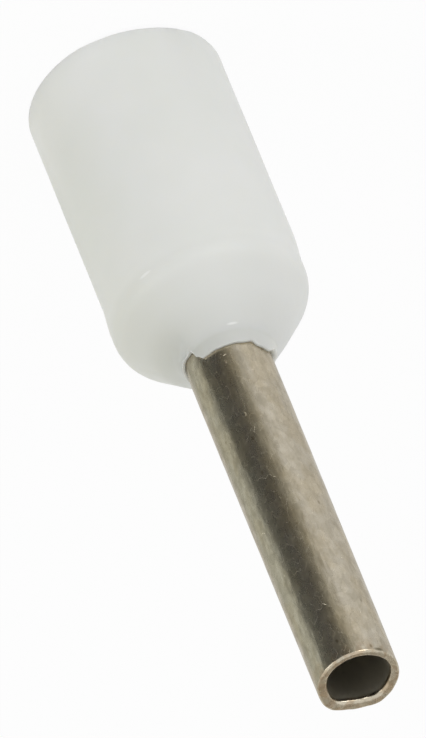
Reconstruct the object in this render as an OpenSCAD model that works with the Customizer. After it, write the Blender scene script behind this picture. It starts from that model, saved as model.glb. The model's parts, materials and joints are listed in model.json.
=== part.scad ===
// Insulated wire-end ferrule for a 0.5 mm2 stranded conductor.
// A tinned copper barrel has a flared end that sits in the nose of a moulded plastic collar.
// The ferrule stands on the collar's mouth, with its axis on Z and the barrel's tip at the top.
// The origin is at the centre of the mouth's rim. Lengths are in millimetres, angles in degrees.

/* [Barrel] */
// Diameter of the bore through the barrel, which takes the strands
barrel_bore = 1.0; // [0.7:0.05:1.2]
// Wall thickness of the barrel
barrel_wall = 0.15; // [0.1:0.01:0.2]
// Length of the barrel that stands clear of the collar
barrel_length = 6.35; // [4:0.05:12]
// Outside diameter of the flared end, inside the collar
flare_od = 2.1; // [1.8:0.05:2.2]
// Radius of the bend between barrel and flare, on the outside
bend_radius = 0.15; // [0.05:0.01:0.2]
// Rounding of the barrel's cut edges
cut_round = 0.05; // [0.02:0.01:0.06]

/* [Collar] */
// Diameter of the bore of the collar, which takes the wire's insulation
collar_bore = 2.6; // [2.4:0.05:3.6]
// Wall thickness of the collar and of its cone
collar_wall = 0.25; // [0.15:0.01:0.35]
// Length of the collar, from its mouth to the end of its lip
collar_length = 5.65; // [4:0.05:9]
// Angle between the cone and the axis
cone_angle = 41; // [35:1:52]
// Radius of the rounded shoulder between wall and cone
shoulder_radius = 0.42; // [0.3:0.02:0.6]
// Rounding of the mouth's edges
rim_round = 0.05; // [0.02:0.01:0.07]

/* [Lip] */
// Length of the lip that grips the barrel
lip_length = 0.16; // [0.12:0.01:0.3]
// Thickness of the lip where it leaves the cone
lip_root = 0.07; // [0.05:0.01:0.1]
// Thickness of the lip at its end
lip_end = 0.05; // [0.03:0.01:0.07]
// Rounding of the lip's outer edge
lip_round = 0.02; // [0.01:0.01:0.03]
// Radius of the hollow between cone and lip
crease_radius = 0.08; // [0.02:0.01:0.12]

/* [Fit] */
// Gap between the barrel and the collar round it
seat_gap = 0.01; // [0.005:0.005:0.03]

/* [Hidden] */

// Straight faces round each full turn, and the turn of one step along a rounded corner
facets = 96;
arc_step = 10;

overall_length = collar_length + barrel_length;
barrel_r = barrel_bore / 2 + barrel_wall;
nose_r = barrel_r + seat_gap;
cavity_r = collar_bore / 2;

// An edge of a section is [angle of its outward normal, its distance from the origin, the radius
// of the corner where it meets the next edge]. A hollow corner has a negative radius.
function edge(angle, point, radius = 0) = [angle, point * [cos(angle), sin(angle)], radius];

// The far side of a wall of the given thickness, behind an edge
function behind(e, wall, radius = 0) = [e[0] + 180, wall - e[1], radius];

// The mating edge that lies a gap inside an edge's far side
function seated(e, depth, radius = 0) = [e[0], e[1] - depth, radius];

// The point where two edges cross, after both move inwards by a distance
function crossing(e, f, inset = 0) =
    let (d = sin(f[0] - e[0]), a = e[1] - inset, b = f[1] - inset)
    [a * sin(f[0]) - b * sin(e[0]), b * cos(e[0]) - a * cos(f[0])] / d;

// The turn from one edge's normal to the next, between -180 and 180
function turn(e, f) = (f[0] - e[0] + 900) % 360 - 180;

// The arc that rounds the corner between two edges
function corner(e, f) =
    let (r = e[2], c = crossing(e, f, r), sweep = turn(e, f), n = ceil(abs(sweep) / arc_step))
    [for (i = [0:n]) let (a = e[0] + sweep * i / n) c + r * [cos(a), sin(a)]];

// The outline of a section, from its edges in order round it
function outline(edges) =
    [for (i = [0:len(edges) - 1]) each corner(edges[i], edges[(i + 1) % len(edges)])];

// The cone meets the lip at this point of the section, [radius, height]
lip_start = [nose_r + lip_root, collar_length - lip_length];
lip_taper = atan2(lip_root - lip_end, lip_length);
lip_edge = min(lip_round, 0.6 * lip_end);

// The flare's outer face lies on the inside of the cone, and ends at this point
cone = edge(cone_angle, lip_start, -crease_radius);
flare = seated(cone, collar_wall + seat_gap, -bend_radius);
flare_r = flare_od / 2;
flare_end = [flare_r, (flare[1] - flare_r * cos(cone_angle)) / sin(cone_angle)];
cut_edge = min(cut_round, 0.4 * barrel_wall);

// Metal tube, cut square at the tip and opened into a funnel inside the collar
module barrel() {
    color("darkgray")
        rotate_extrude($fn = facets)
            polygon(outline([
                edge(0, [barrel_r, 0], cut_edge),
                edge(90, [0, overall_length], cut_edge),
                edge(180, [barrel_bore / 2, 0], bend_radius + barrel_wall),
                behind(flare, barrel_wall, cut_edge),
                edge(cone_angle - 90, flare_end, cut_edge),
                flare
            ]));
}

// Plastic sleeve for the wire's insulation, with a cone and a short lip round the barrel
module collar() {
    color("whitesmoke")
        rotate_extrude($fn = facets)
            polygon(outline([
                edge(-90, [0, 0], rim_round),
                edge(0, [cavity_r + collar_wall, 0], shoulder_radius),
                cone,
                edge(lip_taper, lip_start, lip_edge),
                edge(90, [0, collar_length], lip_edge / 2),
                edge(180, [nose_r, 0], bend_radius - seat_gap),
                behind(cone, collar_wall, -max(shoulder_radius - collar_wall, 0.02)),
                edge(180, [cavity_r, 0], rim_round)
            ]));
}

barrel();
collar();
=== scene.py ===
"""Looks of the insulated wire ferrule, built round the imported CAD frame.

The ferrule stands on its collar's mouth, with the axis on Z. Each of its two CAD nodes is replaced
by a fine mesh of the same section, made as uneven as the photo shows it. Lengths are in metres, in
the frame's own axes.
"""
import json
import math

import bpy
from mathutils import Matrix, Vector, noise


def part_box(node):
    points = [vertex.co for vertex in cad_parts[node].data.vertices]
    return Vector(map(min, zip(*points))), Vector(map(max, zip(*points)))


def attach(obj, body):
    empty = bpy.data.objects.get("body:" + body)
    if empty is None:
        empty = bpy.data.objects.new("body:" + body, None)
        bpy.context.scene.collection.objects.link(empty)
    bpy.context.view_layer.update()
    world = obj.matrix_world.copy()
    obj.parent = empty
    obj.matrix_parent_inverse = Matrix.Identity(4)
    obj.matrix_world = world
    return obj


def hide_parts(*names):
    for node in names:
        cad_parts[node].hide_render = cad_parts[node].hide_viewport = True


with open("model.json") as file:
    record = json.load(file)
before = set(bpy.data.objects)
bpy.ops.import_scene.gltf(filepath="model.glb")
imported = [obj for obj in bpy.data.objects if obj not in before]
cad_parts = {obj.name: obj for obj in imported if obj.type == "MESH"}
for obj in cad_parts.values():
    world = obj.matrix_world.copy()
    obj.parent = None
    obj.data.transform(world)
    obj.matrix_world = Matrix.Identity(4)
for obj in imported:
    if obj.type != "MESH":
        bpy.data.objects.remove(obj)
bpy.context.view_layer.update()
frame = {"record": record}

MM = 0.001

# ---------------------------------------------------------------- sizes, from the frame
mounts = {m["name"]: m["dims"] for m in frame["record"]["mounts"]}
BARREL_R = mounts["terminal_pin"]["r_mm"] * MM
BORE_R = mounts["strand_bore"]["r_mm"] * MM
CAVITY_R = mounts["wire_entry"]["r_mm"] * MM
COLLAR_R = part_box("collar")[1].x
COLLAR_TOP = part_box("collar")[1].z
TIP_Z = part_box("barrel")[1].z
COLLAR_WALL = COLLAR_R - CAVITY_R
BARREL_WALL = BARREL_R - BORE_R

# The rest of both sections, as in the CAD source
CONE_ANGLE = 41.0
SHOULDER_RADIUS = 0.42 * MM
RIM_ROUND = 0.05 * MM
LIP_LENGTH = 0.16 * MM
LIP_ROOT = 0.07 * MM
LIP_END = 0.05 * MM
LIP_ROUND = 0.02 * MM
SEAT_GAP = 0.01 * MM
FLARE_R = 1.05 * MM
BEND_RADIUS = 0.15 * MM
CUT_ROUND = 0.05 * MM
NOSE_R = BARREL_R + SEAT_GAP

# Softer than in the CAD source, as the photo shows them
CREASE_RADIUS = 0.13 * MM
TIP_INNER_ROUND = 0.07 * MM

# How finely the sections are divided
POINT_SPACING = 0.1 * MM
ARC_STEP = math.radians(8)
COLLAR_SEGMENTS = 320
BARREL_SEGMENTS = 256


# ---------------------------------------------------------------- sections and turned meshes
def edge(angle, point, radius):
    """A straight edge of a section: its outward normal's angle in degrees, its distance from the
    origin, and the radius of the corner with the next edge, which is negative where hollow."""
    a = math.radians(angle)
    return a, point[0] * math.cos(a) + point[1] * math.sin(a), radius


def behind(line, wall, radius):
    """The far side of a wall, behind an edge."""
    return line[0] + math.pi, wall - line[1], radius


def corner(line, following):
    """The arc that rounds the corner between two edges: its centre, radius, first angle and turn."""
    a, b, radius = line[0], following[0], line[2]
    turn = (b - a + 5 * math.pi) % (2 * math.pi) - math.pi
    p, q, d = line[1] - radius, following[1] - radius, math.sin(b - a)
    centre = Vector((p * math.sin(b) - q * math.sin(a), q * math.cos(a) - p * math.cos(b))) / d
    return centre, radius, a, turn


def on_arc(arc, share):
    """The point a share of the way along a corner's arc."""
    centre, radius, start, turn = arc
    angle = start + turn * share
    return centre + radius * Vector((math.cos(angle), math.sin(angle)))


def corners(edges):
    return [corner(line, edges[(i + 1) % len(edges)]) for i, line in enumerate(edges)]


def counts_for(edges):
    """How many steps each corner and each straight run after it take."""
    arcs = corners(edges)
    counts = []
    for i, arc in enumerate(arcs):
        run = (on_arc(arcs[(i + 1) % len(arcs)], 0) - on_arc(arc, 1)).length
        turns = max(3, math.ceil(abs(arc[3]) / ARC_STEP))
        counts.append((turns, max(1, math.ceil(run / POINT_SPACING))))
    return counts


def outline(edges, counts):
    """The points round a section, with a given number of steps for each corner and run."""
    arcs = corners(edges)
    points = []
    for i, (arc, (turns, runs)) in enumerate(zip(arcs, counts)):
        points += [on_arc(arc, k / turns) for k in range(turns)]
        end, start = on_arc(arc, 1), on_arc(arcs[(i + 1) % len(arcs)], 0)
        points += [end.lerp(start, k / runs) for k in range(runs)]
    return points


def linked(name, data):
    """A new object with the mesh, lamp or camera data, in the scene."""
    piece = bpy.data.objects.new(name, data)
    bpy.context.scene.collection.objects.link(piece)
    return piece


def turned(name, edges_at, place, segments):
    """A mesh turned from a section that may change with the azimuth, which is 0 at the front, -Y,
    and grows towards -X. place(radius, height, azimuth) gives each vertex."""
    counts = counts_for(edges_at(math.pi))
    rows = sum(turns + runs for turns, runs in counts)
    vertices, faces = [], []
    for j in range(segments):
        azimuth = 2 * math.pi * j / segments
        vertices += [place(r, z, azimuth) for r, z in outline(edges_at(azimuth), counts)]
        for i in range(rows):
            here, after = j * rows, (j + 1) % segments * rows
            above = (i + 1) % rows
            faces.append((here + i, after + i, after + above, here + above))
    mesh = bpy.data.meshes.new(name)
    mesh.from_pydata(vertices, [], faces)
    mesh.polygons.foreach_set("use_smooth", [True] * len(mesh.polygons))
    mesh.update()
    return linked(name, mesh)


# ---------------------------------------------------------------- unevenness
def smoothstep(low, high, value):
    t = min(1.0, max(0.0, (value - low) / (high - low)))
    return t * t * (3 - 2 * t)


def round_the_axis(marks, azimuth):
    """A smooth value through (degrees, value) marks, which are in order and close on themselves."""
    here = math.degrees(azimuth)
    for (a, before), (b, after) in zip(marks, marks[1:] + marks[:1]):
        width = (b - a) % 360
        if (here - a) % 360 < width:
            return before + (after - before) * smoothstep(0, width, (here - a) % 360)
    return marks[0][1]


def through(marks, value):
    """A smooth value through (place, value) marks, level beyond the ends."""
    for (a, before), (b, after) in zip(marks, marks[1:]):
        if value < b:
            return before + (after - before) * smoothstep(a, b, value)
    return marks[-1][1]


# Ripples of the surface: their depth, the size of their features and their seed
COLLAR_RIPPLE = (0.003 * MM, 1.3 * MM, 3.0)
LIP_RIPPLE = (0.008 * MM, 0.35 * MM, 7.0)
TUBE_RIPPLE = (0.002 * MM, 0.7 * MM, 11.0)
FINE_TUBE_RIPPLE = (0.001 * MM, 0.3 * MM, 5.0)
CUT_RIPPLE = (0.006 * MM, 0.3 * MM, 17.0)


def ripple(azimuth, z, kind):
    """Smooth noise on the surface, up to the kind's depth to each side."""
    depth, size, seed = kind
    around = Vector((math.cos(azimuth), math.sin(azimuth), 0)) * COLLAR_R
    return depth * noise.noise((around + Vector((0, 0, z))) / size + Vector((seed, 0, 0)))


# How far the pieces lie off the axis towards +X, in mm, by the share of the collar's height
OFF_CENTRE = ((0.0, -0.05), (0.66, -0.05), (0.75, -0.015), (0.87, -0.015), (1.0, 0.05))


def at(radius, azimuth, z):
    """A point of either piece. The nose and the barrel sit a little to one side of the collar."""
    aside = MM * through(OFF_CENTRE, z / COLLAR_TOP)
    return Vector((aside - radius * math.sin(azimuth), -radius * math.cos(azimuth), z))


# In the lists below, each azimuth in degrees comes with a length in mm or, for the nose, a share.

# How far the lip reaches past the plain one: a gap at the front left and a tooth at the right
LIP_REACH = (
    (-175, -0.07), (-125, -0.12), (-95, -0.24), (-72, -0.25), (-42, -0.20),
    (-35, -0.03), (-28, 0.055), (-10, 0.055), (8, 0.05), (27, 0.055),
    (42, 0.035), (50, 0.10), (68, 0.125), (88, 0.0), (125, -0.10),
)
LEAST_LIP = 0.05 * MM         # the least length that the lip keeps
LIP_TOP_ROUND = 0.2 * LIP_ROUND
LIP_HUG = 0.007 * MM          # how much closer the lip's end sits to the barrel than the nose does
LIP_HUG_FADE = 0.15 * MM      # the length of lip over which it closes in
BORE_MARGIN = 0.001 * MM      # tells the nose's bore from the surfaces outside it

# How far the mouth's edge is short of the floor, and the height over which that fades
MOUTH_RISE = (
    (-20, 0.0), (2, 0.03), (30, 0.042), (48, 0.03), (58, 0.01), (78, 0.02), (100, 0.0), (180, 0.0),
)
MOUTH_RISE_FADE = 0.5 * MM

# How much fuller the cone is near its nose, and the heights between which that grows
CONE_FULLNESS = ((-150, 0.0), (50, 0.0), (100, 0.035), (150, 0.035))
FULLNESS_FROM, FULLNESS_TO = 0.82 * COLLAR_TOP, 0.95 * COLLAR_TOP

# What share of its thickness the nose loses at its end, and the heights between which that grows
LIP_THINNED = ((-150, 0.0), (-105, 0.75), (-60, 0.75), (-20, 0.1), (20, 0.0), (90, 0.0))
THINNED_FROM, THINNED_TO = COLLAR_TOP - 0.6 * MM, COLLAR_TOP - 0.26 * MM

# How far the tip is out of round: a flat at the back
TIP_ROUNDNESS = (
    (-170, -0.035), (-150, -0.03), (-123, 0.03), (-90, 0.0), (0, 0.0), (120, -0.005), (163, 0.02),
)
TIP_FADE = 0.9 * MM           # the length of tube over which the tip goes out of true
TIP_SLANT = 0.045 * MM        # how much the cut falls to each side of its middle, lowest in front
BORE_ASIDE = Vector((-0.016, -0.03, 0)) * MM    # how far the bore is off the tube's axis at the tip
BARREL_TAPER = 0.010 * MM     # how much less the barrel's radius is at its tip
DENTS_FROM, DENTS_TO = COLLAR_TOP + 0.1 * MM, COLLAR_TOP + 0.4 * MM    # where the dents begin


# ---------------------------------------------------------------- the two pieces
lip_start = Vector((NOSE_R + LIP_ROOT, COLLAR_TOP - LIP_LENGTH))
lip_taper = math.degrees(math.atan2(LIP_ROOT - LIP_END, LIP_LENGTH))
cone = edge(CONE_ANGLE, lip_start, -CREASE_RADIUS)
flare = (cone[0], cone[1] - COLLAR_WALL - SEAT_GAP, -BEND_RADIUS)
flare_z = (flare[1] - FLARE_R * math.cos(flare[0])) / math.sin(flare[0])


def lip_top(azimuth):
    """The height of the lip's end."""
    reach = MM * round_the_axis(LIP_REACH, azimuth)
    return COLLAR_TOP + reach + ripple(azimuth, 0, LIP_RIPPLE)


def collar_edges(azimuth):
    """The collar's section. Where the lip is short, the cone itself ends in an edge."""
    top = lip_top(azimuth)
    root = min(lip_start.y, top - LEAST_LIP)
    start = (lip_start.x + (lip_start.y - root) * math.tan(cone[0]), root)
    return [
        edge(-90, (0, 0), RIM_ROUND),
        edge(0, (COLLAR_R, 0), SHOULDER_RADIUS),
        (cone[0], cone[1], -min(CREASE_RADIUS, 0.5 * (top - root))),
        edge(lip_taper, start, LIP_ROUND),
        edge(90, (0, top), LIP_TOP_ROUND),
        edge(180, (NOSE_R, 0), BEND_RADIUS - SEAT_GAP),
        behind(cone, COLLAR_WALL, COLLAR_WALL - SHOULDER_RADIUS),
        edge(180, (CAVITY_R, 0), RIM_ROUND),
    ]


def collar_point(radius, z, azimuth):
    """Moulded collar: faint ripples, an uneven mouth, and a nose that is thin and full in places."""
    if z > flare_z and radius < NOSE_R + BORE_MARGIN:
        top = lip_top(azimuth)
        return at(radius - LIP_HUG * smoothstep(top - LIP_HUG_FADE, top, z), azimuth, z)
    if z > flare_z:
        thinned = round_the_axis(LIP_THINNED, azimuth) * smoothstep(THINNED_FROM, THINNED_TO, z)
        radius -= thinned * (radius - NOSE_R)
    uneven = ripple(azimuth, z, COLLAR_RIPPLE)
    full = MM * round_the_axis(CONE_FULLNESS, azimuth) * smoothstep(FULLNESS_FROM, FULLNESS_TO, z)
    rise = MM * round_the_axis(MOUTH_RISE, azimuth) * smoothstep(MOUTH_RISE_FADE, 0, z)
    return at(radius + uneven + full, azimuth, z + rise)


def barrel_edges(azimuth):
    """The barrel's section, which is the same all round."""
    return [
        edge(0, (BARREL_R, 0), CUT_ROUND),
        edge(90, (0, TIP_Z), TIP_INNER_ROUND),
        edge(180, (BORE_R, 0), BEND_RADIUS + BARREL_WALL),
        behind(flare, BARREL_WALL, CUT_ROUND),
        edge(CONE_ANGLE - 90, (FLARE_R, flare_z), CUT_ROUND),
        flare,
    ]


def barrel_point(radius, z, azimuth):
    """Drawn and cut tube: faint dents, and a tip that cutting left out of true."""
    near_tip = smoothstep(TIP_Z - TIP_FADE, TIP_Z, z)
    dents = ripple(azimuth, z, TUBE_RIPPLE) + ripple(azimuth, z, FINE_TUBE_RIPPLE)
    dents *= smoothstep(DENTS_FROM, DENTS_TO, z)
    bent = MM * near_tip * round_the_axis(TIP_ROUNDNESS, azimuth)
    taper = BARREL_TAPER * smoothstep(COLLAR_TOP, TIP_Z, z)
    fall = TIP_SLANT * (1 + math.cos(azimuth)) + ripple(azimuth, 0, CUT_RIPPLE)
    point = at(radius + dents + bent - taper, azimuth, z - fall * near_tip)
    if radius < BORE_R + TIP_INNER_ROUND:
        point += BORE_ASIDE * near_tip * smoothstep(BORE_R + TIP_INNER_ROUND, BORE_R, radius)
    return point


# ---------------------------------------------------------------- materials
def material(name):
    """A new material, with its node tree, its shader and its texture coordinates."""
    mat = bpy.data.materials.new(name)
    mat.use_nodes = True
    tree = mat.node_tree
    shader = tree.nodes["Principled BSDF"]
    place = tree.nodes.new("ShaderNodeTexCoord").outputs["Object"]
    return mat, tree, shader, place


def plug(tree, value, socket):
    """Feeds a socket from another one, or sets it to a number or a colour."""
    if isinstance(value, bpy.types.NodeSocket):
        tree.links.new(value, socket)
    elif isinstance(value, tuple):
        socket.default_value = (*value, 1)
    else:
        socket.default_value = value


def stretched(tree, vector, scale):
    """The coordinates times a scale for each axis."""
    node = tree.nodes.new("ShaderNodeMapping")
    node.inputs["Scale"].default_value = scale
    tree.links.new(vector, node.inputs["Vector"])
    return node.outputs["Vector"]


def cloud(tree, vector, size, detail=3.0, roughness=0.55):
    """Noise with features of about the given size, from 0 to 1."""
    node = tree.nodes.new("ShaderNodeTexNoise")
    node.inputs["Scale"].default_value = 1 / size
    node.inputs["Detail"].default_value = detail
    node.inputs["Roughness"].default_value = roughness
    tree.links.new(vector, node.inputs["Vector"])
    return node.outputs["Fac"]


def ramp(tree, factor, stops):
    """A colour ramp through (position, colour or grey) stops."""
    node = tree.nodes.new("ShaderNodeValToRGB")
    elements = node.color_ramp.elements
    elements.remove(elements[1])
    for i, (position, colour) in enumerate(stops):
        element = elements.new(position) if i else elements[0]
        element.position = position
        element.color = (*colour, 1) if isinstance(colour, tuple) else (colour, colour, colour, 1)
    tree.links.new(factor, node.inputs["Fac"])
    return node.outputs["Color"]


def mixed(tree, factor, a, b, kind="MIX"):
    """Two colours mixed. Each of factor, a and b is a socket or a constant."""
    node = tree.nodes.new("ShaderNodeMix")
    node.data_type = "RGBA"
    node.blend_type = kind
    for name, value in (("Factor", factor), ("A", a), ("B", b)):
        plug(tree, value, next(s for s in node.inputs if s.name == name and s.enabled))
    return next(s for s in node.outputs if s.enabled)


def combined(tree, operation, a, b):
    """Two values combined by arithmetic. b is a socket or a constant."""
    node = tree.nodes.new("ShaderNodeMath")
    node.operation = operation
    tree.links.new(a, node.inputs[0])
    plug(tree, b, node.inputs[1])
    return node.outputs[0]


def span(tree, value, low, high, to_low=0.0, to_high=1.0, interpolation="SMOOTHSTEP"):
    """A value mapped from one range to another, clamped."""
    node = tree.nodes.new("ShaderNodeMapRange")
    node.interpolation_type = interpolation
    ends = (("From Min", low), ("From Max", high), ("To Min", to_low), ("To Max", to_high))
    for name, number in ends:
        node.inputs[name].default_value = number
    tree.links.new(value, node.inputs["Value"])
    return node.outputs["Result"]


def bump(tree, shader, height, depth):
    """Gives the shader a bumped normal. depth is the height's full range in metres."""
    node = tree.nodes.new("ShaderNodeBump")
    node.inputs["Strength"].default_value = 1.0
    node.inputs["Distance"].default_value = depth
    tree.links.new(height, node.inputs["Height"])
    tree.links.new(node.outputs["Normal"], shader.inputs["Normal"])


def axis_parts(tree, vector):
    """The outputs X, Y and Z of a vector."""
    node = tree.nodes.new("ShaderNodeSeparateXYZ")
    tree.links.new(vector, node.inputs["Vector"])
    return node.outputs


def length_of(tree, vector):
    node = tree.nodes.new("ShaderNodeVectorMath")
    node.operation = "LENGTH"
    tree.links.new(vector, node.inputs[0])
    return node.outputs["Value"]


def cells(tree, vector, size):
    """Voronoi cells of about the given size."""
    node = tree.nodes.new("ShaderNodeTexVoronoi")
    node.inputs["Scale"].default_value = 1 / size
    tree.links.new(vector, node.inputs["Vector"])
    return node.outputs


def dab(tree, place, spot):
    """1 in the middle of an ellipsoid, fading to 0 at its surface. A spot is its radius, azimuth
    and height, and its half sizes round the axis, along the radius and along the axis."""
    radius, azimuth, z, half_sizes = spot
    node = tree.nodes.new("ShaderNodeMapping")
    node.vector_type = "TEXTURE"
    node.inputs["Location"].default_value = at(radius, math.radians(azimuth), z)
    node.inputs["Rotation"].default_value = (0, 0, math.radians(-azimuth))
    node.inputs["Scale"].default_value = half_sizes
    tree.links.new(place, node.inputs["Vector"])
    return span(tree, length_of(tree, node.outputs["Vector"]), 0.3, 1.0, 1.0, 0.0)


# ---------------------------------------------------------------- the collar's plastic
SHOULDER_Z = COLLAR_TOP - 1.4 * MM
HAZE = ((0.3, (0.785, 0.797, 0.763)), (0.7, (0.815, 0.82, 0.795)))
# How much the plastic greys towards the nose, partly from the metal inside and partly painted shade, by
# share of the way from the shoulder to the lip
METAL_AND_PAINTED_SHADE = ((0.0, 0.0), (0.22, 0.26), (0.55, 0.42), (1.0, 1.0))
# Painted shade: the greyed plastic is lighter towards -X and darker towards +X, where less light falls,
# changing between these X
PAINTED_SHADE_RIGHT, PAINTED_SHADE_LEFT = (0.70, 0.71, 0.685), (0.58, 0.59, 0.535)
PAINTED_SHADE_FROM_X, PAINTED_SHADE_TO_X = -0.4 * MM, 1.1 * MM
# A painted warm tint of shade towards +X, growing between these X
WARM_PAINTED_SHADE = (0.985, 0.985, 0.945)
WARM_SHADE_FROM_X, WARM_SHADE_TO_X = 0.2 * MM, 1.5 * MM
WARM_LIP = (1.0, 0.995, 0.955)
PAINTED_HIGHLIGHT_WHITE = (0.86, 0.87, 0.845)
# White streaks painted as highlights, on the wall under the shoulder and on the cone
PAINTED_HIGHLIGHT_STREAKS = (
    (COLLAR_R - 0.01 * MM, -27.5, COLLAR_TOP - 1.23 * MM, (0.15 * MM, 0.06 * MM, 0.035 * MM)),
    (NOSE_R + 0.14 * MM, 20.0, COLLAR_TOP - 0.23 * MM, (0.12 * MM, 0.06 * MM, 0.022 * MM)),
)
PLASTIC_GRAIN = 0.0015 * MM


def plastic():
    """Slightly translucent white moulding, a little clouded. It is greyer towards the nose, partly
    where metal lies behind it and partly as painted shade, darker and warmer towards +X as painted
    shade, and has white streaks painted as highlights.
    """
    mat, tree, shader, place = material("moulded_plastic")
    parts = axis_parts(tree, place)
    height, aside = parts["Z"], parts["X"]
    haze = ramp(tree, cloud(tree, place, 1.6 * MM, 2.0), HAZE)
    climb = span(tree, height, SHOULDER_Z, lip_start.y, interpolation="LINEAR")
    # Painted shade, darker towards +X
    left = span(tree, aside, PAINTED_SHADE_FROM_X, PAINTED_SHADE_TO_X)
    painted_shade = mixed(tree, left, PAINTED_SHADE_RIGHT, PAINTED_SHADE_LEFT)
    # Greyer towards the nose: partly the metal inside seen through the plastic, partly painted shade
    base = mixed(tree, ramp(tree, climb, METAL_AND_PAINTED_SHADE), haze, painted_shade)
    # Painted shade: a warmer tint towards +X
    base = mixed(tree, span(tree, aside, WARM_SHADE_FROM_X, WARM_SHADE_TO_X), base, WARM_PAINTED_SHADE, "MULTIPLY")
    lip = span(tree, height, lip_start.y - 0.05 * MM, lip_start.y + 0.03 * MM)
    base = mixed(tree, lip, base, WARM_LIP, "MULTIPLY")
    # White streaks painted as highlights on the shoulder and the cone
    for mark in PAINTED_HIGHLIGHT_STREAKS:
        base = mixed(tree, dab(tree, place, mark), base, PAINTED_HIGHLIGHT_WHITE)
    tree.links.new(base, shader.inputs["Base Color"])
    rough = span(tree, cloud(tree, place, 0.25 * MM, 4.0), 0.3, 0.7, 0.38, 0.5)
    tree.links.new(rough, shader.inputs["Roughness"])
    shader.inputs["IOR"].default_value = 1.5
    shader.inputs["Subsurface Weight"].default_value = 0.7
    shader.inputs["Subsurface Radius"].default_value = (1.0, 0.95, 0.85)
    shader.inputs["Subsurface Scale"].default_value = 0.25 * MM
    bump(tree, shader, cloud(tree, place, 0.12 * MM, 4.0), PLASTIC_GRAIN)
    return mat


# ---------------------------------------------------------------- the barrel's tin
TONES = ((0.3, (0.50, 0.448, 0.343)), (0.5, (0.60, 0.543, 0.43)), (0.72, (0.68, 0.622, 0.51)))
CRYSTAL_SIZE, CRYSTAL_GREYS = 0.09 * MM, ((0.0, 0.72), (1.0, 1.0))
LINE_GREYS = ((0.35, 0.75), (0.65, 1.0))
PIT_SPACING = 0.3 * MM
TARNISH = (0.98, 0.94, 0.86)
COPPER = (0.84, 0.74, 0.66)
IN_PITS = (0.66, 0.63, 0.57)
PAINTED_DENT_SHADE = (0.40, 0.38, 0.33)
IN_BORE = (0.47, 0.44, 0.36)
# A dark spot by the rim, painted shade standing for a small dent, and a raised fleck part of the way up
# the tube
DENT_SHADE_SPOT = (BARREL_R, 45, TIP_Z - 0.13 * MM, (0.12 * MM, 0.05 * MM, 0.045 * MM))
FLECK = (BARREL_R, -6, COLLAR_TOP + 1.37 * MM, (0.035 * MM, 0.035 * MM, 0.06 * MM))
TIN_RELIEF = 0.012 * MM


def tin():
    """Dull tin plating: mottled and pitted, with faint lines along the tube from drawing, copper
    showing here and there at the cut, and dark inside."""
    mat, tree, shader, place = material("tinned_copper")
    along = stretched(tree, place, (1, 1, 0.55))
    mottle = cloud(tree, along, 0.11 * MM, 5.0, 0.62)
    lines = cloud(tree, stretched(tree, place, (1, 1, 0.06)), 0.05 * MM, 3.0)
    crystals = axis_parts(tree, cells(tree, along, CRYSTAL_SIZE)["Color"])["X"]
    inside = in_bore(tree, place)
    base = tin_colour(tree, place, along, mottle, lines, crystals)
    base = mixed(tree, inside, base, IN_BORE)
    tree.links.new(base, shader.inputs["Base Color"])
    shader.inputs["Metallic"].default_value = 1.0
    shader.inputs["Specular Tint"].default_value = (0.75, 0.74, 0.72, 1)
    rough = mixed(tree, inside, span(tree, mottle, 0.3, 0.7, 0.34, 0.22), (0.5, 0.5, 0.5))
    tree.links.new(rough, shader.inputs["Roughness"])
    relief = mixed(tree, 0.2, cloud(tree, along, 0.15 * MM, 1.5), lines)
    relief = mixed(tree, 0.15, relief, crystals)
    relief = mixed(tree, dab(tree, place, FLECK), relief, (1, 1, 1))
    relief = mixed(tree, inside, relief, (0.5, 0.5, 0.5))
    bump(tree, shader, relief, TIN_RELIEF)
    return mat


def tin_colour(tree, place, along, mottle, lines, crystals):
    """The colour of the tin outside the bore."""
    tone = ramp(tree, mottle, TONES)
    tone = mixed(tree, 0.5, tone, ramp(tree, crystals, CRYSTAL_GREYS), "MULTIPLY")
    base = mixed(tree, 0.2, tone, ramp(tree, lines, LINE_GREYS), "MULTIPLY")
    blotch = span(tree, cloud(tree, along, 0.35 * MM, 3.0), 0.42, 0.62, 0.0, 0.6)
    base = mixed(tree, blotch, base, TARNISH, "MULTIPLY")
    height = axis_parts(tree, place)["Z"]
    at_cut = span(tree, height, TIP_Z - 0.45 * MM, TIP_Z - 0.05 * MM)
    patchy = span(tree, cloud(tree, place, 0.16 * MM, 2.0), 0.45, 0.6, 0.0, 0.75)
    base = mixed(tree, mixed(tree, patchy, (0, 0, 0), at_cut), base, COPPER, "MULTIPLY")
    pit = span(tree, cells(tree, along, PIT_SPACING)["Distance"], 0.03, 0.10, 1.0, 0.0)
    base = mixed(tree, pit, base, IN_PITS, "MULTIPLY")
    # A dark spot by the rim: painted shade standing for a small dent
    return mixed(tree, dab(tree, place, DENT_SHADE_SPOT), base, PAINTED_DENT_SHADE, "MULTIPLY")


def in_bore(tree, place):
    """1 on the wall of the bore, from a little inside the tip, and 0 outside."""
    x, y, z = axis_parts(tree, place)
    flat = tree.nodes.new("ShaderNodeCombineXYZ")
    tree.links.new(combined(tree, "SUBTRACT", x, OFF_CENTRE[-1][1] * MM), flat.inputs["X"])
    tree.links.new(y, flat.inputs["Y"])
    radius = length_of(tree, flat.outputs[0])
    near_wall = span(tree, radius, BORE_R + 0.04 * MM, BORE_R + 0.08 * MM, 1.0, 0.0)
    below = span(tree, z, TIP_Z - 0.14 * MM, TIP_Z - 0.07 * MM, 1.0, 0.0)
    return combined(tree, "MULTIPLY", near_wall, below)


# ---------------------------------------------------------------- dressing the pieces
def dress(piece, mat, node):
    """Gives a piece its material and its body, and hides the CAD node that it stands for."""
    piece.data.materials.append(mat)
    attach(piece, "root")
    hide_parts(node)


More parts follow.
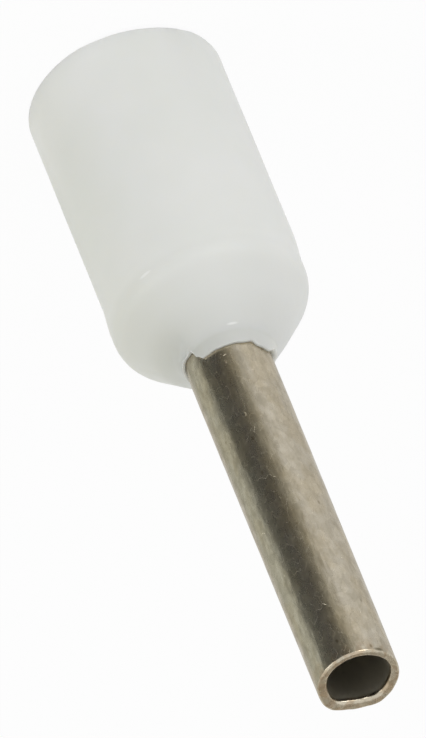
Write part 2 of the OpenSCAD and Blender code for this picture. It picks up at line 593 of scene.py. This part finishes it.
collar = turned("collar_moulded", collar_edges, collar_point, COLLAR_SEGMENTS)
dress(collar, plastic(), "collar")
barrel = turned("barrel_drawn", barrel_edges, barrel_point, BARREL_SEGMENTS)
dress(barrel, tin(), "barrel")


# ---------------------------------------------------------------- camera
VIEW_FROM_AXIS = 52.5         # degrees between the ferrule's axis and the line of sight
VIEW_ROLL = 22.3              # degrees that the axis leans from straight down in the picture
CAMERA_DISTANCE = 280 * MM
FIELD_HEIGHT = 11.10 * MM     # what the frame's long side takes in at the ferrule
AIM = Vector((0.295 * MM, 0, 5.51 * MM))


def make_camera():
    """Looks down at the ferrule's tip, rolled so that the barrel points down and right."""
    tilt, roll = math.radians(VIEW_FROM_AXIS), math.radians(VIEW_ROLL)
    back = Vector((0, -math.sin(tilt), math.cos(tilt)))
    along = Vector((0, math.cos(tilt), math.sin(tilt)))
    side = back.cross(along)
    right = math.sin(roll) * along + math.cos(roll) * side
    up = -math.cos(roll) * along + math.sin(roll) * side
    data = bpy.data.cameras.new("camera")
    data.lens = data.sensor_width * CAMERA_DISTANCE / FIELD_HEIGHT
    data.clip_start, data.clip_end = 10 * MM, 10.0
    camera = linked("camera", data)
    turn = Matrix((right, up, back)).transposed().to_4x4()
    camera.matrix_world = Matrix.Translation(AIM + back * CAMERA_DISTANCE) @ turn
    bpy.context.scene.camera = camera


# ---------------------------------------------------------------- floor, cards, lamps and world
FLOOR_HALF = 1000 * MM
FLOOR_COLOUR = (0.90, 0.90, 0.90)
FLOOR_SEEN_WHITE = 0.93
WORLD_STRENGTH = 0.80
BACK_CARD_COLOUR = (0.60, 0.57, 0.52)
BACK_CARD_NEAR, BACK_CARD_FAR = 20 * MM, 120 * MM
LAMP_DISTANCE = 100 * MM
# Name, azimuth, elevation, side and power
LAMPS = (("key", -38, 9, 22 * MM, 0.012), ("fill", 51, 12, 8 * MM, 0.007))


def flat_mesh(name, points):
    """One flat face of the stage."""
    mesh = bpy.data.meshes.new(name)
    mesh.from_pydata(points, [], [tuple(range(len(points)))])
    piece = linked(name, mesh)
    return piece


def bare_material(name):
    """A new material whose tree holds only an output, with the input that takes the surface."""
    mat = bpy.data.materials.new(name)
    mat.use_nodes = True
    tree = mat.node_tree
    tree.nodes.clear()
    return mat, tree, tree.nodes.new("ShaderNodeOutputMaterial").inputs["Surface"]


def diffuse(tree, colour):
    """A diffuse shader. The colour is a socket or a constant."""
    node = tree.nodes.new("ShaderNodeBsdfDiffuse")
    plug(tree, colour, node.inputs["Color"])
    return node


def seen_white(tree, shader, share):
    """Mixes white light into a shader, for rays that show it as a background: those from the camera
    and those that reflections and clear materials send."""
    nodes, links = tree.nodes, tree.links
    path = nodes.new("ShaderNodeLightPath")
    seen = path.outputs["Is Camera Ray"]
    for kind in ("Is Glossy Ray", "Is Transmission Ray"):
        seen = combined(tree, "MAXIMUM", seen, path.outputs[kind])
    amount = combined(tree, "MULTIPLY", seen, share)
    in_world = shader.type == "BACKGROUND"
    white = nodes.new("ShaderNodeBackground" if in_world else "ShaderNodeEmission")
    white.inputs["Color"].default_value = (1, 1, 1, 1)
    white.inputs["Strength"].default_value = 1.0
    mix = nodes.new("ShaderNodeMixShader")
    links.new(amount, mix.inputs["Fac"])
    links.new(shader.outputs[0], mix.inputs[1])
    links.new(white.outputs[0], mix.inputs[2])
    return mix.outputs[0]


def make_floor():
    """A plain pale floor, seen as white."""
    half = FLOOR_HALF
    floor = flat_mesh("floor", [(-half, -half, 0), (half, -half, 0), (half, half, 0), (-half, half, 0)])
    mat, tree, surface = bare_material("pale_floor")
    tree.links.new(seen_white(tree, diffuse(tree, FLOOR_COLOUR), FLOOR_SEEN_WHITE), surface)
    floor.data.materials.append(mat)


CARD_REACH = (2.5 * MM, 120 * MM)
CARD_HEIGHT = 0.05 * MM
CARD_STEPS = 60
NEUTRAL, BROWN, GREEN = (1.0, 1.0, 1.0), (1.04, 1.0, 0.86), (0.96, 1.0, 0.94)
# The card's grey and tint by azimuth, from the front towards +X
CARD_GREYS = (
    (-135, 0.98, NEUTRAL), (-99, 0.95, NEUTRAL), (-84, 0.96, NEUTRAL), (-70, 1.00, NEUTRAL),
    (-57, 1.00, NEUTRAL), (-45, 1.00, NEUTRAL), (-33, 0.85, NEUTRAL), (-22, 0.58, BROWN),
    (-11, 0.365, BROWN), (0, 0.215, BROWN), (11, 0.136, BROWN), (22, 0.112, NEUTRAL),
    (33, 0.116, NEUTRAL), (45, 0.126, GREEN), (57, 0.140, GREEN), (68, 0.18, GREEN),
    (76, 0.50, GREEN), (84, 0.76, GREEN), (99, 0.85, GREEN), (118, 0.82, GREEN), (135, 0.78, GREEN),
)


def make_graded_card():
    """A graded card on the floor, dark at the front left, seen only in reflections."""
    low, high = CARD_GREYS[0][0], CARD_GREYS[-1][0]
    angles = [math.radians(low + (high - low) * i / CARD_STEPS) for i in range(CARD_STEPS + 1)]
    inner, outer = [
        [(r * math.sin(a), -r * math.cos(a), CARD_HEIGHT) for a in angles] for r in CARD_REACH
    ]
    card = flat_mesh("graded_card", inner + outer[::-1])
    mat, tree, surface = bare_material("graded_card")
    turn = tree.nodes.new("ShaderNodeMapping")
    turn.inputs["Rotation"].default_value = (0, 0, math.radians(-90 - low))
    place = tree.nodes.new("ShaderNodeTexCoord").outputs["Object"]
    tree.links.new(place, turn.inputs["Vector"])
    around = tree.nodes.new("ShaderNodeTexGradient")
    around.gradient_type = "RADIAL"
    tree.links.new(turn.outputs[0], around.inputs[0])
    stops = [((a - low) / 360, tuple(grey * share for share in tint)) for a, grey, tint in CARD_GREYS]
    colour = ramp(tree, around.outputs["Fac"], stops)
    tree.links.new(diffuse(tree, colour).outputs[0], surface)
    card.data.materials.append(mat)
    hide_but_in_reflections(card)


def hide_but_in_reflections(card):
    card.visible_camera = False
    card.visible_diffuse = False
    card.visible_shadow = False
    card.visible_transmission = False


def make_back_card():
    """A grey card behind the ferrule, seen only in reflections, that tones down the cut face."""
    near, far = BACK_CARD_NEAR, BACK_CARD_FAR
    points = [(-far, near, near), (far, near, near), (far, near, far), (-far, near, far)]
    card = flat_mesh("back_card", points)
    mat, tree, surface = bare_material("back_card")
    tree.links.new(diffuse(tree, BACK_CARD_COLOUR).outputs[0], surface)
    card.data.materials.append(mat)
    hide_but_in_reflections(card)


def make_lamp(name, azimuth, elevation, size, power):
    """A square softbox that faces the ferrule. Azimuth 0 is the camera's side, and grows to +X."""
    a, e = math.radians(azimuth), math.radians(elevation)
    towards = Vector((math.sin(a) * math.cos(e), -math.cos(a) * math.cos(e), math.sin(e)))
    place = towards * LAMP_DISTANCE
    data = bpy.data.lights.new(name, "AREA")
    data.size, data.energy = size, power
    lamp = linked(name, data)
    turn = place.to_track_quat("Z", "Y").to_matrix().to_4x4()
    lamp.matrix_world = Matrix.Translation(place) @ turn


def make_world():
    """Even white light from all round."""
    world = bpy.data.worlds.new("world")
    world.use_nodes = True
    tree = world.node_tree
    sky = tree.nodes["Background"]
    sky.inputs["Color"].default_value = (1, 1, 1, 1)
    sky.inputs["Strength"].default_value = WORLD_STRENGTH
    tree.links.new(seen_white(tree, sky, 1.0), tree.nodes["World Output"].inputs["Surface"])
    bpy.context.scene.world = world


make_camera()
make_floor()
make_graded_card()
make_back_card()
for lamp in LAMPS:
    make_lamp(*lamp)
make_world()
bpy.context.scene.view_settings.view_transform = "Standard"
